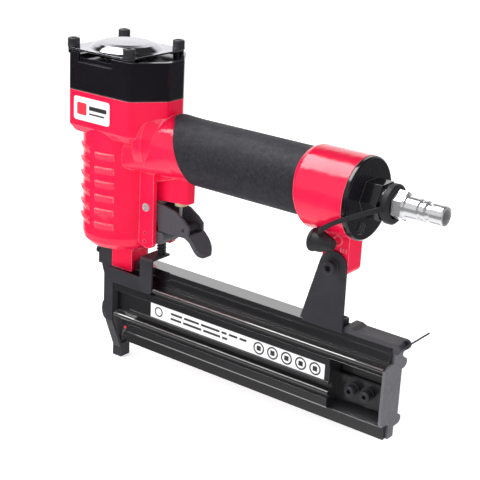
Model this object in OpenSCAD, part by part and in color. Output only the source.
// Pneumatic 18 gauge brad nailer, in millimetres.
// The origin is on the driver axis at the contact face of the nose, +Z points up along the
// driver axis, +X points towards the air inlet and -Y is the side that carries the label.

/* [Head and cylinder] */
// Half width of the square head
head_half = 30; // [29.5:0.5:31]
// How far the head's tail reaches towards the handle
head_tail = 47; // [45:1:49]
// Spacing of the four cap screws
bolt_spacing = 52; // [51:0.5:52]
// Outer diameter of the cylinder part of the casting
barrel_d = 60; // [59:0.5:61]
// Bore of the cylinder sleeve
sleeve_bore = 39; // [38:0.5:39]
// Stroke of the piston
stroke = 70; // [60:1:70]

/* [Handle] */
// Height of the handle's axis above the nose tip
handle_z = 174.5; // [174:0.5:176]
// Outer diameter of the rubber grip
grip_d = 46; // [45:0.5:47]
// Where the grip ends
grip_end = 166; // [164:1:167]
// Outer diameter of the rear cylinder
rear_d = 55; // [54:0.5:56]
// Height of the rear cylinder's axis above the nose tip
rear_z = 173; // [172.5:0.5:173.5]

/* [Trigger] */
// Width of the trigger
trigger_w = 17.6; // [16:0.2:18]
// Swing of the trigger in degrees
trigger_swing = 12; // [8:1:12]

/* [Nose] */
// Travel of the work contact
contact_travel = 5; // [3:0.5:5]

/* [Magazine] */
// Rear end of the magazine rail
mag_rear = 237; // [230:1:238]
// Height of the magazine's top face
mag_top = 82; // [81.5:0.5:82.5]
// Height of the magazine's bottom face
mag_bottom = 16; // [15:0.5:16.5]
// Half width of the magazine's rail
rail_half = 7; // [6.8:0.1:7.2]
// Reach of the magazine's outer ribs from the middle plane
rib_reach = 15; // [14.5:0.5:15.5]

/* [Hidden] */
$fn = 64;
eps = 0.01;
gap = 0.3;

// Heights of the head's layers
screw_top = 243;
screw_head_h = 5;
washer_h = 1.3;
plate_t = 1.2;
plate_top = screw_top - screw_head_h - washer_h;
plate_z = plate_top - plate_t;
cap_rim_z = 234.2;
cap_ledge_z = 232.6;
cap_z = 207.7;
head_top = 207.2;
head_z = 182;
bolt = bolt_spacing / 2;

// Inside of the cylinder
sleeve_z = 98.2;
sleeve_top = 205.95;
sleeve_r = 22;
chamber_r = 26.5;
barrel_floor = 98;
barrel_z = 93;
piston_r = sleeve_bore / 2 - 0.05;
piston_z = 195;
piston_h = 10.4;
piston_boss_z = 189;
blade_x = 1.2;
blade_y = 2.2;
nose_end = contact_travel + 0.2;
blade_tip = nose_end + stroke - 0.2;

// Head valve
valve_r = 22;
valve_bore = 22.1;
valve_stem_r = 9;
valve_stem_bore = 9.1;
cap_ceiling = 222;
exhaust_floor = 225.5;

// Trigger and its valve
pivot = [33.5, 129.2];
stem_x = 54.5;
stem_tip = 124;
housing_z = 134.5;
lever_pivot = [64.3, 118];
rod_x = 37.6;
rod_top = 115.2;
pin_x = 32.1;
pin_z = [103, 109.4];
ear_in = trigger_w / 2 + 0.5;
ear_out = 13;

// Safety bracket
bracket_y = rib_reach + 0.2;
bracket_t = 1.6;
bracket_top = 91.5;

// Magazine
channel = 0.7;
brad_floor = 21;
mag_front = 8.3;
block_end = 197;
cavity_z = 50.5;
cavity_h = 7;
cavity_y = 7.2;
rod_y = -3.9;
rod_z = cavity_z + cavity_h / 2;
latch_x = 240.6;
latch_z = 81.6;

// Colours
red = "#e0102c";
black = "#1b1b1e";
satin_black = "#26262a";
rubber_black = "#303035";
steel = "#8f9297";
chrome = "#d8dade";
brass = "#e2cf8a";
aluminium = "#b5b8bd";

// ---------------------------------------------------------------- helpers

function unit(v) = v / norm(v);
// Points of the arc that rounds corner b between its neighbours a and c
function corner(a, b, c, r, n) =
    let (u = unit(a - b), w = unit(c - b), half = acos(u * w) / 2,
         m = b + unit(u + w) * r / sin(half),
         p = b + u * r / tan(half) - m, q = b + w * r / tan(half) - m,
         a0 = atan2(p.y, p.x), turn = (atan2(q.y, q.x) - a0 + 540) % 360 - 180)
    [for (i = [0:n]) m + r * [cos(a0 + turn * i / n), sin(a0 + turn * i / n)]];
// Closed outline with every corner rounded
function rounded(pts, r, n = 5) =
    let (k = len(pts))
    [for (i = [0:k - 1]) each corner(pts[(i + k - 1) % k], pts[i], pts[(i + 1) % k], r, n)];
// Points of an arc about c
function arc(c, r, a0, a1, n = 8) =
    [for (i = [0:n]) c + r * [cos(a0 + (a1 - a0) * i / n), sin(a0 + (a1 - a0) * i / n)]];

// Extrudes a (y, z) outline along X
module along_x(x0, x1) translate([x0, 0, 0]) rotate([90, 0, 90]) linear_extrude(x1 - x0) children();
// Extrudes an (x, z) outline along Y
module along_y(y0, y1) translate([0, y1, 0]) rotate([90, 0, 0]) linear_extrude(y1 - y0) children();
// Cylinder along X, centred on (y, z)
module rod_along_x(x0, x1, r, y = 0, z = 0) translate([x0, y, z]) rotate([0, 90, 0]) cylinder(x1 - x0, r = r);
// Cylinder along Y, centred on (x, z)
module rod_along_y(y0, y1, r, x = 0, z = 0) translate([x, y1, z]) rotate([90, 0, 0]) cylinder(y1 - y0, r = r);
// Cylinder along Z
module rod_up(z0, z1, r, x = 0, y = 0) translate([x, y, z0]) cylinder(z1 - z0, r = r);
module box(lo, hi) translate(lo) cube(hi - lo);
// Ring of round section about +Z
module o_ring(mean_r, wire_r, z) translate([0, 0, z]) rotate_extrude() translate([mean_r, 0]) circle(wire_r, $fn = 24);
// Round groove about +Z, cut from the outside
module groove(r_floor, r_out, z, w) translate([0, 0, z - w / 2]) difference() {
    cylinder(w, r = r_out);
    translate([0, 0, -eps]) cylinder(w + 2 * eps, r = r_floor);
}
// Socket head screw, optionally with a knurled head: head on top of z = 0, shank below
module socket_screw(d, head_d, head_h, length, key, knurled = false) difference() {
    union() {
        if (knurled) linear_extrude(head_h - 0.5) polygon([for (i = [0:59])
            (head_d / 2 - (i % 2 == 0 ? 0 : 0.22)) * [cos(6 * i), sin(6 * i)]]);
        else cylinder(head_h - 0.5, r = head_d / 2);
        translate([0, 0, head_h - 0.5 - eps]) rotate_extrude()
            polygon([[0, 0], [head_d / 2 - 0.24, 0], [head_d / 2 - 0.6, 0.5 + eps], [0, 0.5 + eps]]);
        translate([0, 0, -length]) cylinder(length + eps, r = d / 2);
    }
    translate([0, 0, head_h * 0.45]) cylinder(head_h, r = key / sqrt(3), $fn = 6);
}
// Coil spring about +Z from z = 0 to z = h, as one swept tube
module coil(mean_r, wire_r, h, turns, sides = 6, steps = 12) {
    n = turns * steps;
    rise = (h - 2 * wire_r) / n;
    ring = [for (i = [0:n]) each [for (k = [0:sides - 1])
        let (a = 360 * i / steps, b = 360 * k / sides, r = mean_r + wire_r * cos(b))
        [r * cos(a), r * sin(a), wire_r + rise * i + wire_r * sin(b)]]];
    skin = [for (i = [0:n - 1]) each [for (k = [0:sides - 1])
        let (a = i * sides + k, b = i * sides + (k + 1) % sides) each [[a, a + sides, b + sides], [a, b + sides, b]]]];
    ends = [[for (k = [0:sides - 1]) k], [for (k = [sides - 1:-1:0]) n * sides + k]];
    polyhedron(points = ring, faces = concat(skin, ends), convexity = 8);
}

// ---------------------------------------------------------------- head

head_outline = [
    [-head_half + 1, -head_half], [head_half, -head_half], [head_tail, -8],
    [head_tail, 8], [head_half, head_half], [-head_half + 1, head_half]
];
module head_plan(r = 5) { polygon(rounded(head_outline, r)); }
module at_bolts() { for (x = [-bolt, bolt], y = [-bolt, bolt]) translate([x, y, 0]) children(); }

module deflector_plate() color("#3a3b40") difference() {
    union() {
        translate([0, 0, plate_z]) linear_extrude(plate_t)
            polygon(rounded([[-30, -30], [30, -30], [30, 30], [-30, 30]], 4));
        translate([0, 0, plate_top - eps]) rotate_extrude()
            polygon([[0, 0], [26, 0], [25.2, 0.6], [23.6, 1.9], [20.8, 3.5], [16.5, 4.5], [0, 4.9]]);
    }
    translate([0, 0, plate_z - eps]) rotate_extrude()
        polygon([[0, 0], [24.4, 0], [22.6, 1.3], [20, 2.8], [16.2, 3.6], [0, 3.9]]);
    at_bolts() translate([0, 0, plate_z - 1]) cylinder(plate_t + 2, r = 2.7);
}
module cap_screws() color(black)
    at_bolts() translate([0, 0, screw_top - screw_head_h]) socket_screw(4.9, 8.5, screw_head_h, 45, 4, true);
module cap_washers() color(black)
    at_bolts() translate([0, 0, plate_top]) difference() {
        cylinder(washer_h, r = 4.4);
        translate([0, 0, -1]) cylinder(washer_h + 2, r = 2.55);
    }
module cylinder_cap() color(black) difference() {
    union() {
        translate([0, 0, cap_z]) linear_extrude(cap_ledge_z - cap_z) head_plan();
        translate([0, 0, cap_ledge_z - eps]) linear_extrude(cap_rim_z - cap_ledge_z) difference() {
            head_plan();
            polygon([for (p = rounded(head_outline, 5)) p * 0.93]);
        }
        at_bolts() translate([0, 0, cap_ledge_z - eps]) cylinder(plate_z - cap_ledge_z + eps, r = 3.95);
    }
    rod_up(cap_z - 1, cap_ceiling, valve_bore);
    rod_up(cap_ceiling - 1, exhaust_floor + 1, valve_stem_bore);
    rod_up(exhaust_floor, cap_rim_z, 16);
    // Exhaust slot under the plate, with its inner mouth
    box([-18, -head_half - 1, 227.5], [14, -head_half + 2.2, cap_rim_z + 1]);
    box([-18, -head_half + 2, 230.5], [14, -10, cap_rim_z + 1]);
    at_bolts() translate([0, 0, cap_z - 1]) cylinder(30, r = 2.6);
}
module cap_gasket() color("#2b2b2b") translate([0, 0, head_top]) linear_extrude(cap_z - head_top) difference() {
    head_plan();
    circle(chamber_r);
    at_bolts() circle(2.8);
}

// ---------------------------------------------------------------- head valve

// Pad that closes the hollow valve stem while the valve is lifted
module exhaust_seal() color(rubber_black) rod_up(229.7, plate_top + 2.3, 9);
module head_valve() color(aluminium) difference() {
    union() {
        rod_up(208, 213, valve_r);
        rod_up(213 - eps, 226, valve_stem_r);
    }
    rod_up(207, 227, 6);
    groove(20.4, valve_r + 1, 210.5, 2);
    groove(7.6, valve_stem_r + 1, 220, 1.6);
}
module head_valve_seal() color(rubber_black) difference() {
    rod_up(sleeve_top + 0.05, 208, 21.4);
    rod_up(sleeve_top, 209, 10);
}
module head_valve_orings() color(rubber_black) {
    o_ring(21.25, 0.82, 210.5);
    o_ring(8.35, 0.72, 220);
}
module head_valve_spring() color(steel) translate([0, 0, 213.05]) coil(14, 0.8, cap_ceiling - 213.1, 3);

// ---------------------------------------------------------------- casting

// Louvres on both sides of the barrel: a sloped facet under a sharp upper edge
module louvre(z, reach, a0, a1) intersection() {
    translate([0, 0, z]) rotate_extrude() polygon([[26.8, -5.6], [29.7, -5.6], [reach, -0.8], [reach, -0.3], [reach - 0.5, 0.2], [26.8, 0.2]]);
    translate([0, 0, z - 8]) linear_extrude(10) polygon([[0, 0], 60 * [cos(a0), sin(a0)], 60 * [cos(a1), sin(a1)]]);
}
module barrel_ribs() for (side = [-1, 1], row = [0:5]) mirror([0, side > 0 ? 1 : 0, 0]) {
    louvre(165.8 - 10.35 * row, 31.1, -90.6, -62);
    louvre(168.2 - 10.6 * row, 31.5, -137, -102.7);
}
// Ears that carry the trigger and the safety guide
module trigger_ears() {
    for (s = [-1, 1]) along_y(s > 0 ? ear_in : -ear_out, s > 0 ? ear_out : -ear_in)
        polygon(concat([[18, 176], [39.5, 164], [40.2, 110]],
            arc([36.2, s > 0 ? 101 : 102.6], 4, 0, -80, 6), [[33, s > 0 ? 97 : 98.6], [18, 104]]));
}
module valve_housing() {
    along_y(-5.5, 5.5) polygon([[26, 172], [60.5, 160], [60.5, 135.7], [44, housing_z], [40, housing_z - 1], [26, housing_z - 1]]);
    hull() for (y = [-1.5, 1.5]) translate([60.5, y, 135.7]) cylinder(22, r = 4, $fn = 32);
    along_y(-9, 9) polygon([[24, 172], [56, 166], [56, 154], [38, 148], [24, 148]]);
}
module neck() {
    // Web between the barrel and the neck, under the head
    hull() {
        rod_up(157, 169, 24, 6);
        rod_along_x(56, 59, 21.6, 0, handle_z);
    }
    translate([0, 0, handle_z]) rotate([0, 90, 0]) rotate_extrude()
        polygon([[0, 0], [22.4, 0], [22.4, 48], [21.6, 58], [21.6, 77], [20.5, 78], [20.5, grip_end + 9], [0, grip_end + 9]]);
    // Hollow fillet where the neck leaves the head
    translate([0, 0, handle_z + 2.2]) rotate([0, 90, 0]) rotate_extrude()
        polygon([[0, 30], [26, 30], [26, 37.5], [24, 40], [22.6, 42.5], [21.2, 45], [20.2, 47], [0, 47]]);
}
module rear_cylinder() {
    r = rear_d / 2;
    // Its front face leans back towards the bottom
    intersection() {
        translate([0, 0, rear_z]) rotate([0, 90, 0]) rotate_extrude()
            polygon([[0, grip_end - 3], [r - 3, grip_end - 3], [r - 1, grip_end - 1], [r, grip_end + 2], [r, 204], [0, 204]]);
        along_y(-30, 30) polygon([[grip_end - 3, 202], [grip_end + 6.5, 144], [210, 144], [210, 202]]);
    }
    // Foot that holds the strut
    along_y(-7.8, 7.8) polygon(concat([[178, 160], [178, 147], [181, 129]], arc([188.6, 125.8], 6, 205, 270, 5),
        arc([196, 124.5], 4.5, -90, 0, 5), [[200.5, 160]]));
    for (s = [-1, 1]) along_y(s > 0 ? 6 : -8.6, s > 0 ? 8.6 : -6) {
        difference() {
            polygon(arc([191.5, 143.5], 3.6, 0, 340, 16));
            polygon(arc([191.5, 143.5], 2.6, 0, 340, 16));
        }
        for (x = [194, 196, 198]) translate([x, 136]) square([0.8, 3.2]);
    }
}
// Boss below the barrel that holds the nose
module nose_boss() {
    box([-2.6, -9, 74], [17, 9, 98]);
    along_y(-9, 9) polygon([[-2.6, 93], [-20, 96], [-20, 104], [22, 104], [22, 96], [17, 90]]);
}
module body_casting() color(red) difference() {
    union() {
        translate([0, 0, head_z]) linear_extrude(head_top - head_z) head_plan();
        hull() {
            translate([0, 0, head_z - 0.01]) linear_extrude(0.02) head_plan();
            translate([0, 0, head_z - 5]) linear_extrude(0.02) polygon([for (p = rounded(head_outline, 5, 3)) p * 0.9]);
        }
        rotate_extrude() polygon([[0, barrel_z], [21, barrel_z], [26, barrel_z + 1.5], [29, barrel_z + 5],
                                  [barrel_d / 2, barrel_z + 10], [barrel_d / 2, head_z + 1], [0, head_z + 1]]);
        barrel_ribs();
        trigger_ears();
        valve_housing();
        neck();
        rear_cylinder();
        nose_boss();
    }
    // Cylinder chamber and sleeve seat
    rod_up(112, head_top + 1, chamber_r);
    rod_up(barrel_floor, 113, sleeve_r + 0.05);
    rod_up(70, barrel_floor + 1, 7.6);
    // Pocket of the nose guide
    box([-4, -5.4, 73], [8.3, 5.4, barrel_z + 0.2]);
    // Air passage through the handle
    rod_along_x(20, 190, 16, 0, handle_z);
    rod_along_x(186, 205, 22, 0, rear_z);
    // Slot between the ears
    box([30.3, -ear_in, 90], [43, ear_in, 133]);
    // Trigger valve
    rod_up(120, handle_z, 4.55, stem_x);
    // Threads of the cap screws
    at_bolts() translate([0, 0, 190]) cylinder(18, r = 2.5);
    // Trigger pivot, guide pins, strut screw and nose screws
    rod_along_y(-14, 14, 2.05, pivot.x, pivot.y);
    for (z = pin_z) rod_along_y(-14, 14, 1.15, pin_x, z);
    rod_along_y(-10, 6, 2.5, 190.5, 126);
    for (y = [-7, 7]) rod_along_x(-3, 13, 1.5, y, 83);
}
module cylinder_sleeve() color(aluminium) difference() {
    rod_up(sleeve_z, sleeve_top, sleeve_r);
    rod_up(sleeve_z - 1, sleeve_top + 1, sleeve_bore / 2);
    groove(20.7, sleeve_r + 1, 104, 1.8);
    groove(20.7, sleeve_r + 1, 162, 1.8);
    for (a = [45, 135]) translate([0, 0, 129]) rotate([0, 90, a]) translate([0, 0, -25]) cylinder(50, r = 1.5);
}
module cylinder_collar() color(aluminium) difference() {
    rod_up(158, 166, chamber_r - 0.05);
    rod_up(157, 167, sleeve_r + 0.05);
}
module sleeve_orings() color(rubber_black) for (z = [104, 162]) o_ring(21.36, 0.64, z);
module bumper() color("#3b3a38") difference() {
    rod_up(barrel_floor + 0.3, piston_z - stroke - 0.1, sleeve_bore / 2 - 0.1);
    rod_up(barrel_floor - 1, piston_z - stroke + 1, 8.6);
    groove(18.2, sleeve_bore, 111, 6);
}
module head_label() color("#f4f4f4") along_y(-head_half - 0.25, -head_half)
    polygon(rounded([[-21.5, 186.5], [12.5, 186.5], [12.5, 203.3], [-21.5, 203.3]], 2));

// ---------------------------------------------------------------- piston and driver

module piston() color(aluminium) difference() {
    union() {
        rod_up(piston_z, piston_z + piston_h, piston_r);
        rod_up(piston_boss_z, piston_z + 1, 7);
    }
    groove(17.6, sleeve_bore, 200.5, 2);
    rod_up(202, 207, 12);
    box([-blade_x / 2, -blade_y / 2, 180], [blade_x / 2, blade_y / 2, 199]);
}
module piston_oring() color(rubber_black) o_ring(18.55, 0.85, 200.5);
module driver_blade() color(steel)
    box([-blade_x / 2, -blade_y / 2, blade_tip], [blade_x / 2, blade_y / 2, 199]);

// ---------------------------------------------------------------- handle

module grip_sleeve() color(rubber_black) difference() {
    intersection() {
        translate([0, 0, handle_z]) rotate([0, 90, 0]) rotate_extrude()
            polygon([[20.55, 40], [grip_d / 2 + 0.8, 40], [grip_d / 2 + 0.6, 52], [grip_d / 2 + 0.2, 60], [grip_d / 2, 68],
                     [grip_d / 2, grip_end - 6], [grip_d / 2 + 0.6, grip_end + 8], [20.55, grip_end + 8]]);
        along_y(-30, 30) polygon([[47, 203], [51.6, 197.4], [57, 194.1], [60.6, 188.5], [63, 183.5], [66, 177], [68.6, 170.8],
                                  [71.5, 163.5], [73, 155.2], [73.2, 148], [grip_end + 5.75, 148], [grip_end - 3.26, 203]]);
    }
    hull() {
        rod_up(156.7, 169.3, 24.25, 6);
        rod_along_x(56, 59.1, 21.87, 0, handle_z);
    }
    translate([0, 0, handle_z]) rotate([0, 90, 0]) rotate_extrude()
        polygon([[0, 20], [22.7, 20], [22.7, 50.1], [21.9, 58.2], [21.9, 77.2], [20.52, 78.6], [0, 78.6]]);
}
module handle_end_cap() color(black) difference() {
    union() {
        translate([0, 0, rear_z]) rotate([0, 90, 0]) rotate_extrude()
            polygon([[0, 192], [21.9, 192], [21.9, 204.05], [27.2, 204.05], [27.4, 206.4], [26.4, 207.4], [13, 208.2], [0, 208.2]]);
        translate([207, 0, handle_z]) rotate([0, 90, 0]) rotate([0, 0, 30]) cylinder(13, r = 13.3, $fn = 6);
        rod_along_x(219, 222, 10.6, 0, handle_z);
        rod_along_x(221, 228, 8.4, 0, handle_z);
        // Small bars moulded in the rim's face
        translate([207.2, -8.5, rear_z - 17.3]) rotate([60, 0, 0]) for (k = [-1, 0, 1])
            translate([0, -4 + 0.9 * abs(k), 2.5 * k - 0.55]) cube([1.6, 8 - 1.8 * abs(k), 1.1]);
    }
    rod_along_x(190, 229, 6.1, 0, handle_z);
    translate([0, 0, rear_z]) rotate([0, 90, 0]) groove(20.3, 24, 198, 2.4);
}
module end_cap_oring() color(rubber_black)
    translate([0, 0, rear_z]) rotate([0, 90, 0]) o_ring(21.15, 0.8, 198);
module air_plug() color(chrome) difference() {
    union() {
        rod_along_x(214, 228.2, 6.05, 0, handle_z);
        translate([228.1, 0, handle_z]) rotate([0, 90, 0]) cylinder(6.4, r = 9.8, $fn = 6);
        translate([0, 0, handle_z]) rotate([0, 90, 0]) rotate_extrude()
            polygon([[0, 228.05], [8.2, 228.05], [8.2, 235.4], [7.2, 236.4], [7, 244.4], [5.9, 245.4], [5.9, 246.4],
                     [6.9, 247.2], [6.9, 249.2], [5.6, 250.4], [5.6, 252.2], [6.6, 253.4], [6.6, 261], [6, 262], [0, 262]]);
    }
    rod_along_x(213, 241, 3.6, 0, handle_z);
    rod_along_x(240, 263, 4.9, 0, handle_z);
}

// Ring, strap and cap moulded in one piece of rubber
strap_path = [
    [224.6, -11.8, 173.5], [220.5, -19.5, 172.1], [215, -25.5, 169.8], [209, -28.9, 167], [203, -29.4, 163.8],
    [197.5, -29.2, 160.2], [192.6, -28.2, 156.6], [188.6, -25.6, 153], [186.4, -22, 149.5]
];
// Flat band: four corners at every station of the path
module strap() {
    n = len(strap_path);
    ring = [for (i = [0:n - 1])
        let (t = unit(strap_path[min(i + 1, n - 1)] - strap_path[max(i - 1, 0)]),
             up = unit([0, 0, 1] - t * t.z), w = cross(t, up))
        each [for (c = [[1.5, 1], [1.5, -1], [-1.5, -1], [-1.5, 1]]) strap_path[i] + up * c.x + w * c.y]];
    skin = [for (i = [0:n - 2]) each [for (k = [0:3])
        let (a = i * 4 + k, b = i * 4 + (k + 1) % 4) each [[a, b + 4, a + 4], [a, b, b + 4]]]];
    polyhedron(points = ring, faces = concat(skin, [[3, 2, 1, 0], [for (k = [0:3]) (n - 1) * 4 + k]]), convexity = 6);
}
module dust_cap() color(rubber_black) difference() {
    union() {
        translate([0, 0, handle_z - 0.6]) rotate([0, 90, 0]) rotate_extrude()
            polygon([[9.3, 222.3], [11.6, 222.3], [13, 223.2], [13, 226.6], [11.8, 227.7], [9.3, 227.7]]);
        strap();
        translate([0, -20.5, 144.6]) rotate([0, 90, 0]) rotate_extrude()
            polygon([[0, 180.5], [7.2, 180.5], [7.6, 181], [7.6, 182.6], [7.1, 183.2], [6.7, 188], [3.8, 196], [3.3, 196.6], [0, 196.6]]);
    }
    rod_along_x(180, 188, 5.4, -20.5, 144.6);
}

// ---------------------------------------------------------------- strut

module support_strut() color(satin_black) difference() {
    union() {
        along_y(-9.8, -8) polygon(concat([[168, mag_top + 1.8], [201, mag_top + 1.8]],
            arc([190.5, 126], 10.2, -8, 168, 16)));
        box([170, -9.8, mag_top + 0.05], [201, 5, mag_top + 1.85]);
    }
    rod_along_y(-12, -5, 2.6, 190.5, 126);
    rod_up(mag_top - 1, mag_top + 4, 2.15, 196.8, -1);
}
module strut_screw() color(black) {
    translate([190.5, -11, 126]) rotate([90, 0, 0]) socket_screw(4.9, 8.5, 5, 14, 4);
    difference() {
        rod_along_y(-11, -9.8, 4.9, 190.5, 126);
        rod_along_y(-12, -9, 2.45, 190.5, 126);
    }
}
module strut_foot_screw() color(black)
    translate([196.8, -1, mag_top + 1.85]) socket_screw(3.9, 7, 5.6, 7.6, 3);

// ---------------------------------------------------------------- trigger

module trigger_valve_body() color(brass) difference() {
    rod_up(132.6, 160, 4.5, stem_x);
    rod_up(132, 161, 1.3, stem_x);
    rod_up(136, 158, 3, stem_x);
    translate([stem_x, 0, 0]) for (z = [140, 156]) groove(3.6, 6, z, 1.4);
}
module valve_orings() color(rubber_black) for (z = [140, 156]) translate([stem_x, 0, 0]) o_ring(4.05, 0.43, z);
module valve_stem() color(steel) {
    rod_up(stem_tip, 164, 1.2, stem_x);
    rod_up(140, 142, 2.6, stem_x);
}
module valve_spring() color(steel) translate([stem_x, 0, 142.05]) coil(2, 0.35, 15.9, 7, 6, 10);

// Side plate of the trigger in (x, z)
trigger_plate = concat(arc(pivot, 3.9, 120, 240, 8), [
    [34, 121], [40.4, 119], [41.4, 112.2], [69.1, 112.7], [68.9, 121], [64.3, 125.2], [56.8, 129.8],
    [46, 132.2], [40, 133.2]
]);
module trigger() color(satin_black) difference() {
    union() {
        for (s = [-1, 1]) along_y(s > 0 ? trigger_w / 2 - 1.9 : -trigger_w / 2, s > 0 ? trigger_w / 2 : -trigger_w / 2 + 1.9)
            polygon(trigger_plate);
        // Finger rest, running on into the rounded tongue
        intersection() {
            along_y(-trigger_w / 2, trigger_w / 2) polygon([
                [45, 112.3], [66, 112.6], [70, 110.4], [74.2, 105.2], [77.4, 101.9], [80, 100.2], [81.2, 100.6], [80.6, 102.2],
                [76.4, 107.4], [73.4, 111.6], [69.5, 115.2], [66.5, 114.6], [45, 114.1]
            ]);
            translate([0, 0, 95]) linear_extrude(25) polygon(concat([[40, trigger_w / 2], [40, -trigger_w / 2]],
                [for (a = [-90:15:90]) [74.8 + 6.2 * cos(a), trigger_w / 2 * sin(a)]]));
        }
        along_y(-trigger_w / 2, trigger_w / 2) polygon([[45, 112.3], [67, 112.6], [69.5, 115.2], [66.5, 114.6], [45, 114.1]]);
    }
    rod_along_y(-12, 12, 2.1, pivot.x, pivot.y);
    rod_along_y(-12, 12, 1.25, lever_pivot.x, lever_pivot.y);
}
module trigger_pin() color(chrome) difference() {
    union() {
        rod_along_y(-13.05, 14.2, 2, pivot.x, pivot.y);
        rod_along_y(-14.2, -13.05, 3, pivot.x, pivot.y);
    }
    translate([pivot.x - 4, -14.6, pivot.y - 0.35]) cube([8, 0.9, 0.7]);
    translate([pivot.x, 13.6, pivot.y]) rotate([90, 0, 0]) translate([0, 0, -0.25]) groove(1.5, 3, 0, 0.7);
}
module trigger_pin_clip() color(steel) translate([pivot.x, 14.15, pivot.y]) rotate([90, 0, 0]) difference() {
    cylinder(0.6, r = 3.4);
    translate([0, 0, -1]) cylinder(3, r = 1.55);
    translate([-1.2, 0, -1]) cube([2.4, 5, 3]);
}
module trigger_lever() color("#3c3d41") difference() {
    union() {
        rod_along_y(-6.6, 6.6, 3, lever_pivot.x, lever_pivot.y);
        along_y(-3.4, 3.4) polygon([[64, 115.2], [64, 120.8], [52, 120], [38, 118.4], [34.6, 117.6], [34.6, 115.9], [50, 115.9]]);
    }
    rod_along_y(-8, 8, 1.25, lever_pivot.x, lever_pivot.y);
}
module lever_pin() color(steel)
    rod_along_y(-trigger_w / 2 - 0.1, trigger_w / 2 + 0.1, 1.2, lever_pivot.x, lever_pivot.y);

// ---------------------------------------------------------------- safety

module safety_guide() color("#55575c") difference() {
    along_y(-ear_in + 0.1, ear_in - 0.1) polygon([
        [30.5, 100.6], [30.5, 111.6], [45.6, 111.6], [46.6, 110], [46.6, 106.4], [45, 103], [36.5, 101.4], [35, 100.6]
    ]);
    rod_up(100, 113, 2.6, rod_x);
    rod_up(99, 107.6, 4.2, rod_x);
    for (z = pin_z) rod_along_y(-12, 12, 1.15, pin_x, z);
}
module guide_pins() color("#7a1420") for (z = pin_z) rod_along_y(-12.6, 12.6, 1.1, pin_x, z);
module safety_rod() color(black) {
    rod_up(bracket_top + 0.05, rod_top, 2.5, rod_x);
    rod_up(bracket_top - 3.2, bracket_top + 0.06, 1.6, rod_x);
}
module safety_spring() color(black) translate([rod_x, 0, bracket_top + 0.1]) coil(3.2, 0.5, 107.6 - bracket_top - 0.2, 7, 6, 12);
module safety_bracket() color(satin_black) {
    out = bracket_y;
    in = bracket_y - bracket_t;
    // Upper L of the side plate, bent over at the top
    along_y(-out, -in) polygon(concat([[-3, 33], [4, 33], [4, 64.7]], arc([39.5, 67], 2.3, -90, 0, 4),
        [[41.8, bracket_top - 1.5], [30.5, bracket_top - 1.5], [30.5, 75.2], [-3, 75.2]]));
    // Flange under the rod
    difference() {
        along_x(30.5, 41.8) polygon(concat([[4.6, bracket_top - bracket_t], [4.6, bracket_top]],
            arc([-out + 2.2, bracket_top - 2.2], 2.2, 90, 180, 4), [[-in, bracket_top - 2.2], [-in, bracket_top - bracket_t]]));
        rod_up(85, 99, 1.65, rod_x);
    }
    // Leg that leans in to the tip
    difference() {
        along_x(-3, 4) polygon([[-out, 33.1], [-in, 33.1], [-4, 10.6], [-4, 8], [-5.4, 8]]);
        box([-3.3, -3.7, 0], [3.3, 5, 30]);
    }
    // Tip around the nose
    difference() {
        box([-4.2, -4.8, 0], [4.2, 4.8, 11]);
        box([-3.3, -3.7, -1], [3.3, 3.7, 13]);
    }
}

// ---------------------------------------------------------------- nose

module nose_guide() color(black) difference() {
    union() {
        box([-16, -9, 73.2], [-2.8, 9, 92.8]);
        box([-3, -5.3, 73.2], [8, 5.3, 92.8]);
        intersection() {
            along_y(-9, 9) polygon([[-12.6, 74], [-12.6, 72.4], [-10.4, 66], [-10.4, 28], [-2.9, 15.6], [-2.9, nose_end],
                                    [2.9, nose_end], [2.9, 16.4], [8, 26], [8, 74]]);
            along_x(-13, 9) polygon([[-9, 74], [-9, 34], [-3.4, 16.6], [-3.4, 0], [3.4, 0], [3.4, 16.6], [9, 34], [9, 74]]);
        }
    }
    // Driver channel and the brads' way in
    box([-0.7, -1.2, 0], [0.7, 1.2, 95]);
    box([0, -channel, brad_floor], [9, channel, 72.4]);
    // Screw holes
    for (y = [-7, 7]) rod_along_x(-17, -2.5, 1.6, y, 83);
    for (z = [48, 62]) {
        rod_along_x(-12, 9, 1.55, 4.3, z);
        rod_along_x(-12, -7.6, 2.9, 4.3, z);
    }
    for (z = [32.5, 39.5]) rod_along_x(-12, -5, 1.5, -4.5, z);
}
module nose_cover() color(satin_black) difference() {
    along_y(-7, 7) polygon(concat([[-10.45, 28.5], [-10.45, 44]], [for (k = [0:6])
        let (t = k / 6) [-12 - 2.2 * sin(180 * t), 43.5 - 15 * t]]));
    for (z = [32.5, 39.5]) {
        rod_along_x(-15, -10, 1.6, -4.5, z);
        rod_along_x(-16, -13.6, 2.5, -4.5, z);
    }
}
module nose_cover_screws() color(steel) for (z = [32.5, 39.5])
    translate([-13.65, -4.5, z]) rotate([0, -90, 0]) socket_screw(2.9, 4.6, 1, 6.5, 1.6);
module nose_screws() color(black) for (y = [-7, 7])
    translate([-16, y, 83]) rotate([0, -90, 0]) socket_screw(2.9, 5.6, 2.4, 28, 2.5);

// ---------------------------------------------------------------- magazine

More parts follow.
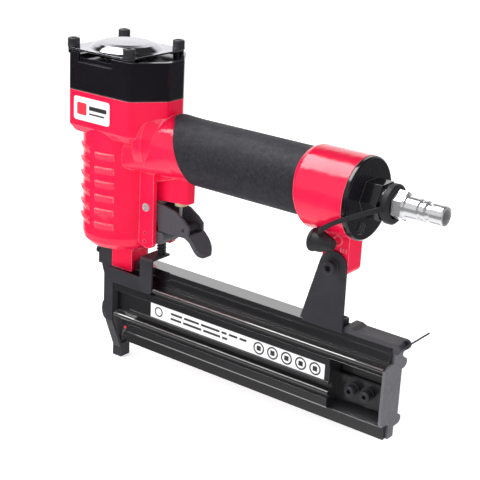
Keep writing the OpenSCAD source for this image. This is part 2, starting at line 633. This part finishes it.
// Fixed rail in (y, z): top block, far wall with its ribs, floor
rail_profile = concat(
    [[-rail_half, mag_top], [-rail_half, 78.3], [-rail_half + 0.6, 78.2], [-rail_half + 0.6, 77.6], [-rail_half, 77.5],
     [-rail_half, 71.7], [-5.8, 71.7], [-5.8, 74], [-2.7, 74], [-2.7, 72.4], [channel, 72.4],
     [channel, brad_floor], [-2.7, brad_floor], [-2.7, 18.8], [-5.8, 18.8], [-5.8, 23], [-rail_half, 23],
     [-rail_half, mag_bottom], [5, mag_bottom], [5, 23]],
    arc([8, 26.5], 3.5, -90, 90), [[7, 30]],
    [[7, 36], [8.6, 36.5], [8.6, 38], [7, 38.5], [7, 63.2]],
    arc([9.8, 66.8], 3.6, -90, 90),
    [[7, 70.4], [7, 77.5], [6.4, 77.6], [6.4, 78.2], [7, 78.3], [7, mag_top]]);
module fixed_magazine() color(satin_black) difference() {
    along_x(mag_front, mag_rear) polygon(rail_profile);
    // The upper part starts behind the nose boss, and the foot is cut back
    box([mag_front - 1, -10, 73.6], [17.4, 20, 90]);
    box([mag_front - 1, -10, 76], [52, -6, 90]);
    box([mag_front - 1, -20, 10], [12, 20, brad_floor - 0.6]);
    for (z = [48, 62]) rod_along_x(0, 22, 1.45, 4.3, z);
    rod_up(60, 90, 2, 196.8, -1);
}
module magazine_screws() color(black) for (z = [48, 62])
    translate([-7.7, 4.3, z]) rotate([0, -90, 0]) socket_screw(2.8, 5.6, 2.4, 27, 2.5);

// Sliding half in (y, z): label side with its ribs and the spring's cavity
slide_profile = concat(
    [[-5.5, 73.7], [-5.5, 71.3], [-7.2, 71.3], [-7.2, 69.4]],
    [for (a = [90:22.5:270]) [-13.4 + 1.6 * cos(a), 67.8 + 1.6 * sin(a)]],
    [[-12.4, 66.2], [-12.4, 64.5], [-rib_reach, 64.4], [-rib_reach, 59], [-13.7, 59], [-13.7, 47], [-rib_reach, 47],
     [-rib_reach, 45.4], [-10, 45.2], [-10, 41.2], [-12.6, 40.6]],
    [for (a = [90:22.5:270]) [-13.2 + 1.8 * cos(a), 38.8 + 1.8 * sin(a)]],
    [[-12.6, 37], [-12.6, 35.5], [-rib_reach, 35.4], [-rib_reach, 29.2], [-14, 28], [-7.4, 28], [-7.4, 23.4], [-5.5, 23.4],
     [-5.5, 19.1], [-3, 19.1], [-3, 21.4], [-channel, 21.4],
     [-channel, cavity_z], [-cavity_y, cavity_z], [-cavity_y, cavity_z + cavity_h], [-channel, cavity_z + cavity_h],
     [-channel, 71.4], [-3, 71.4], [-3, 73.7]]);
// The same half behind the label block, where the spring's cavity has ended
module movable_magazine() color(satin_black) difference() {
    union() {
        along_x(4.6, mag_rear) polygon(slide_profile);
        // End wall of the cavity
        box([194, -cavity_y - 1, cavity_z - 1], [block_end, -channel, cavity_z + cavity_h + 1]);
    }
    // Front: inner part starts at the nose guide, lower part further back
    box([4, -9.3, 10], [mag_front + 0.3, 0, 80]);
    box([4, -20, 10], [19, -9.2, 36.3]);
    box([4, -20, 10], [11, 0, 30]);
    // Window that shows the last brads
    box([4, -rib_reach - 1, 41], [21, -9.8, 59]);
    box([4, -rib_reach - 1, 65], [42.6, -13, 70]);
    // Pocket of the channel block
    translate([block_end, 0, 0]) rotate([90, 0, 90]) linear_extrude(60)
        polygon([[-rib_reach - 1, 26.2], [-rib_reach, 27.2], [-3.2, 33], [-3.2, 64.4], [-rib_reach - 1, 64.4]]);
    box([block_end - eps, -cavity_y - 1, cavity_z - 2], [mag_rear + 1, -3.2, cavity_z + cavity_h + 2]);
    // Rod's blind hole and the block's window
    rod_along_x(190, 195.6, 1.55, rod_y, rod_z);
    box([204, -5, 33.5], [228, 0, 50]);
}
module magazine_label() color("#f2f2f2") along_y(-13.95, -13.7)
    polygon([[41, 47.4], [193, 47.4], [193, 58.6], [41, 58.6]]);
module magazine_end_plate() color("#7c7e84") along_x(mag_rear + 0.05, mag_rear + 1.8) polygon(concat(
    [[-4, 78.6], [-4, 70.8], [-9, 69.6], [-rib_reach, 68], [-rib_reach, 31], [-13, 28], [-5, 27.4], [-3.6, 25.6],
     [-3.6, mag_bottom], [3, mag_bottom], [3, 23]],
    arc([8, 26.5], 3.4, -90, 90), [[7, 30], [7, 63.2]], arc([9.4, 66.8], 3.4, -90, 90), [[6.8, 70.4], [6.8, 78.6]]));
module channel_block() color("#2f3035") difference() {
    box([204.05, -3.2, 33.55], [227.95, 0.5, 49.95]);
    for (x = [210.4, 222.2]) rod_along_y(-6, 2, 1.9, x, 43);
}
module channel_block_screws() color(black) for (x = [210.4, 222.2])
    translate([x, -4.6, 43]) rotate([90, 0, 0]) {
        socket_screw(3.7, 7.4, 5.8, 4.6, 3);
        translate([0, 0, -1.4]) difference() {
            cylinder(1.4 + eps, r = 4.3);
            translate([0, 0, -1]) cylinder(4, r = 1.8);
        }
    }
module pusher() color(steel) difference() {
    union() {
        box([9, -0.55, 22], [17, 0.55, 71]);
        box([9, -cavity_y + 0.3, cavity_z + 0.4], [16, 0, cavity_z + cavity_h - 0.4]);
    }
    rod_along_x(8, 18, 1.58, rod_y, rod_z);
}
module pusher_rod() color(steel) rod_along_x(17 - 8.2 + 0.1, 195.5, 1.5, rod_y, rod_z);
module pusher_spring() color(steel) translate([16.1, rod_y, rod_z]) rotate([0, 90, 0]) coil(2.25, 0.45, 177.8, 40, 6, 8);

// ---------------------------------------------------------------- latch

module latch_cover() color("#2a2b2f") difference() {
    union() {
        along_y(-rail_half, rail_half) polygon([
            [201.3, mag_top + 0.05], [201.3, 86], [201.9, 86.4], [206.6, 86.4], [210, latch_z + 3.45], [latch_x, latch_z + 3.3],
            [latch_x, mag_top - 0.4], [latch_x - 2.4, mag_top - 0.4], [latch_x - 2.4, mag_top + 0.05]
        ]);
        rod_along_y(-rail_half, rail_half, 3.3, latch_x, latch_z);
    }
    // Chamber of the lever's hub, open to the rear and below, and pocket of its spring
    rod_along_y(0.1, 3.9, 2.35, latch_x, latch_z);
    box([latch_x + 0.4, 0.1, 76], [latch_x + 4, 3.9, 90]);
    box([latch_x - 3.4, 0.1, 76], [latch_x + 4, 3.9, 80.9]);
    rod_along_y(-2.9, 0.2, 2.2, latch_x, latch_z);
    rod_along_y(-5, 8, 1.05, latch_x, latch_z);
    box([latch_x - 5, -8, 70], [latch_x - 2.3, 8, mag_top + 0.02]);
}
module latch_pin() color(steel) rod_along_y(-4.9, 6.9, 1, latch_x, latch_z);
module latch_lever() color(satin_black) difference() {
    union() {
        rod_along_y(0.4, 3.6, 2.15, latch_x, latch_z);
        translate([latch_x, 0, latch_z]) rotate([0, -43.5, 0]) {
            box([0, 0.4, -2.1], [5.2, 3.6, -1]);
            translate([0, 0, -2.1]) linear_extrude(1.1) difference() {
                union() {
                    translate([4.6, -6]) square([14.4, 12]);
                    polygon(rounded([[4.6, -6], [21.5, -6], [21.5, 6], [4.6, 6]], 3));
                }
                polygon([[19, -6.1], [22, -6.1], [22, -3], [21, -4.6]]);
                polygon([[19, 6.1], [22, 6.1], [22, 3], [21, 4.6]]);
            }
        }
        box([latch_x - 1.5, 0.4, 78.9], [latch_x - 0.3, 3.6, latch_z]);
    }
    rod_along_y(-8, 8, 1.05, latch_x, latch_z);
}
module latch_spring() color(steel) translate([latch_x, 0.05, latch_z]) rotate([90, 0, 0]) coil(1.7, 0.3, 2.8, 3, 6, 12);

deflector_plate();
cap_screws();
cap_washers();
cylinder_cap();
cap_gasket();
exhaust_seal();
head_valve();
head_valve_seal();
head_valve_orings();
head_valve_spring();
body_casting();
cylinder_sleeve();
cylinder_collar();
sleeve_orings();
piston();
piston_oring();
driver_blade();
bumper();
head_label();
grip_sleeve();
handle_end_cap();
end_cap_oring();
air_plug();
dust_cap();
support_strut();
strut_screw();
strut_foot_screw();
trigger_valve_body();
valve_orings();
valve_stem();
valve_spring();
trigger();
trigger_pin();
trigger_pin_clip();
trigger_lever();
lever_pin();
safety_guide();
guide_pins();
safety_bracket();
safety_rod();
safety_spring();
nose_guide();
nose_cover();
nose_screws();
nose_cover_screws();
fixed_magazine();
magazine_screws();
movable_magazine();
magazine_label();
magazine_end_plate();
channel_block();
channel_block_screws();
pusher();
pusher_rod();
pusher_spring();
latch_cover();
latch_lever();
latch_pin();
latch_spring();
